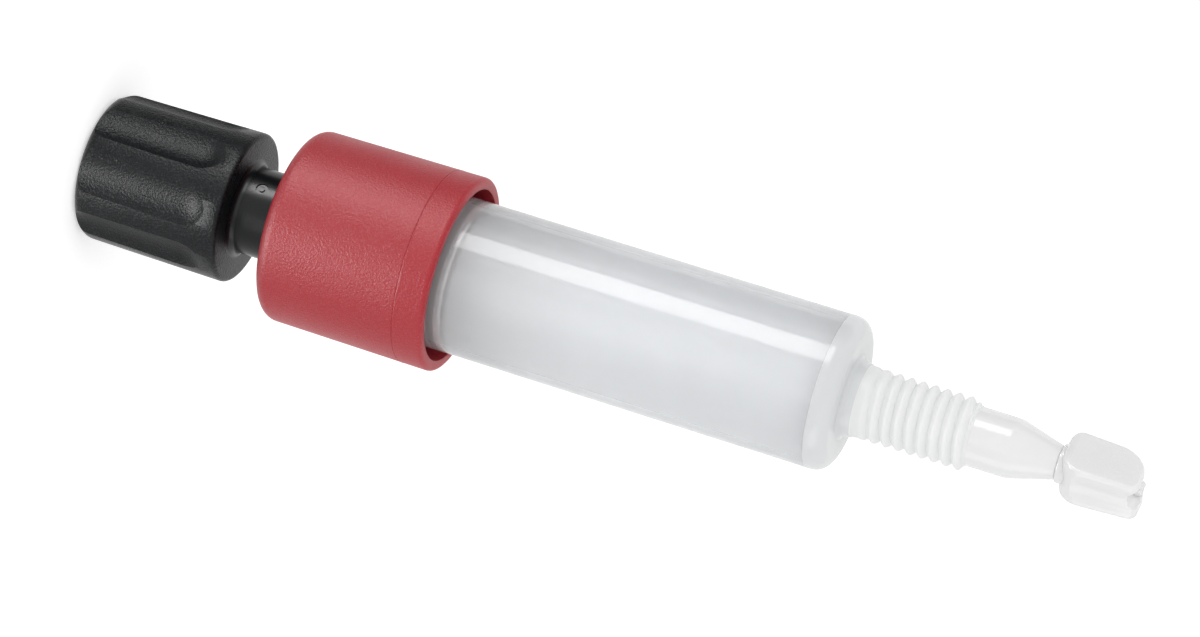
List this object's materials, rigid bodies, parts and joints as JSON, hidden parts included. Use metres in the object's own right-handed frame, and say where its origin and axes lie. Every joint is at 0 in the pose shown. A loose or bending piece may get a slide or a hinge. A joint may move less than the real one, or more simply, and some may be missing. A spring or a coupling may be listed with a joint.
{
  "type": "prepacked chromatography column",
  "caption": "Small clear plastic column filled with gel, with a red collar and black fluted stop plug at the inlet and a threaded outlet closed by a snap-off tab.",
  "frame": {"origin": "centre of the knob's flat outer face, on which the column stands", "axes": "+Z along the column's axis from the knob to the outlet tab, front is -Y"},
  "size_m": [0.013, 0.013, 0.0715],
  "materials": {
    "black_plastic": "fine moulded grain on the knob, smoother on the neck",
    "red_plastic": "fine moulded grain",
    "natural_plastic": "smooth, uncoloured",
    "seal_rubber": "smooth black rubber",
    "porous_plastic": "sintered, porous",
    "gel": "wet packed gel beads",
    "clear_plastic": "glossy, milky clear, with a fine grain on two faces of the tab"
  },
  "bodies": {
    "plug": {"stop_plug": "black_plastic"},
    "column": {"column_tube": "clear_plastic", "collar": "red_plastic", "inlet_adapter": "natural_plastic", "adapter_o_ring": "seal_rubber", "upper_frit": "porous_plastic", "packed_bed": "gel", "lower_frit": "porous_plastic"}
  },
  "joints": [
    {"name": "plug_out", "type": "slide", "parent": "plug", "child": "column", "axis": [0, 0, 1], "range_m": [0, 0.012]}
  ]
}
